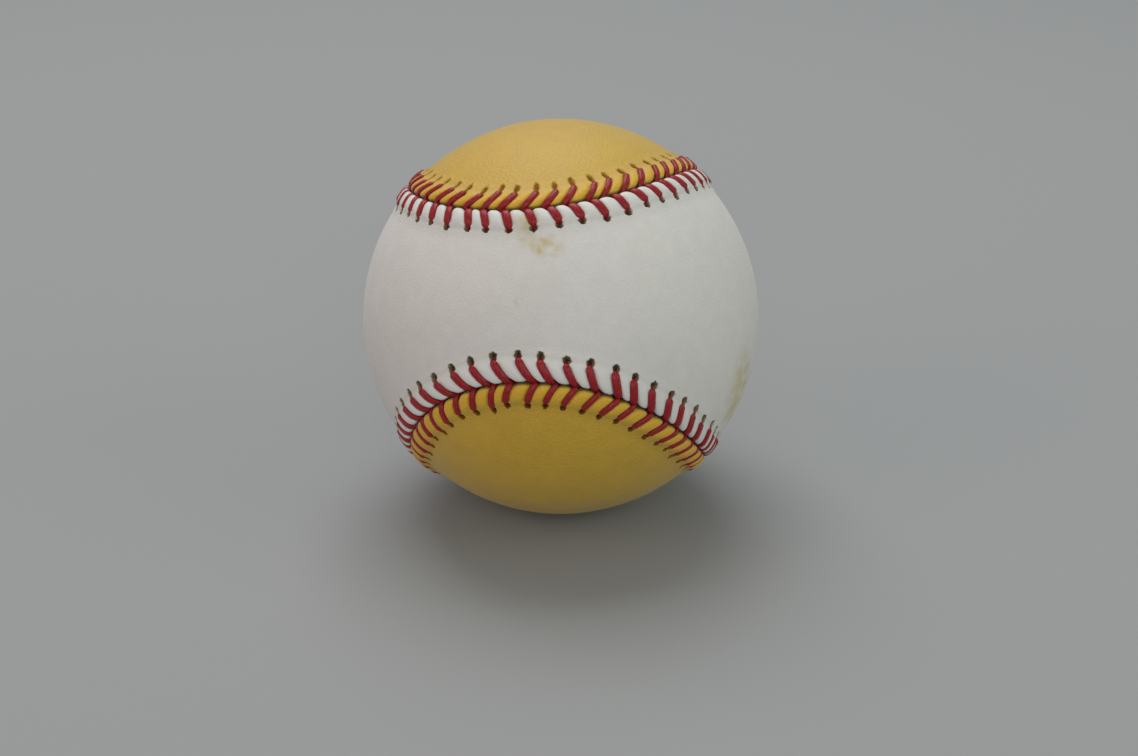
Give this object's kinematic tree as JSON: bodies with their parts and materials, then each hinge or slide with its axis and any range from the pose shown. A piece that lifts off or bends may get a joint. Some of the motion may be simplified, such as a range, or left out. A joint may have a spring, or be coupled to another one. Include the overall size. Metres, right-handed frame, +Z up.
{
  "type": "baseball",
  "caption": "Two-colour leather baseball: cork and rubber pill, yarn windings and two figure-eight covers laced together with raised red thread stitches.",
  "frame": {"origin": "centre of the ball", "axes": "+Z up and -Y towards the viewer, with the ball turned as it lies in its display cradle"},
  "size_m": [0.0732, 0.0752, 0.0733],
  "materials": {
    "cork": "moulded cork granules",
    "black_rubber": "moulded, satin",
    "red_rubber": "moulded, satin",
    "grey_wool": "wound wool yarn, matt",
    "white_wool": "wound wool yarn, matt",
    "finishing_yarn": "fine cotton and polyester yarn under rubber cement",
    "white_leather": "alum-tanned cowhide, fine grain, satin",
    "gold_leather": "dyed cowhide, fine grain, satin",
    "waxed_thread": "waxed cotton thread, low sheen"
  },
  "bodies": {
    "root": {"cork_core": "cork", "black_rubber_shell_a": "black_rubber", "black_rubber_shell_b": "black_rubber", "rubber_gasket": "red_rubber", "red_rubber_shell_a": "red_rubber", "red_rubber_shell_b": "red_rubber", "grey_wool_winding": "grey_wool", "white_wool_winding": "white_wool", "outer_grey_wool_winding": "grey_wool", "finishing_yarn_winding": "finishing_yarn", "white_cover": "white_leather", "gold_cover": "gold_leather", "seam_thread_a": "waxed_thread", "seam_thread_b": "waxed_thread"}
  },
  "joints": []
}
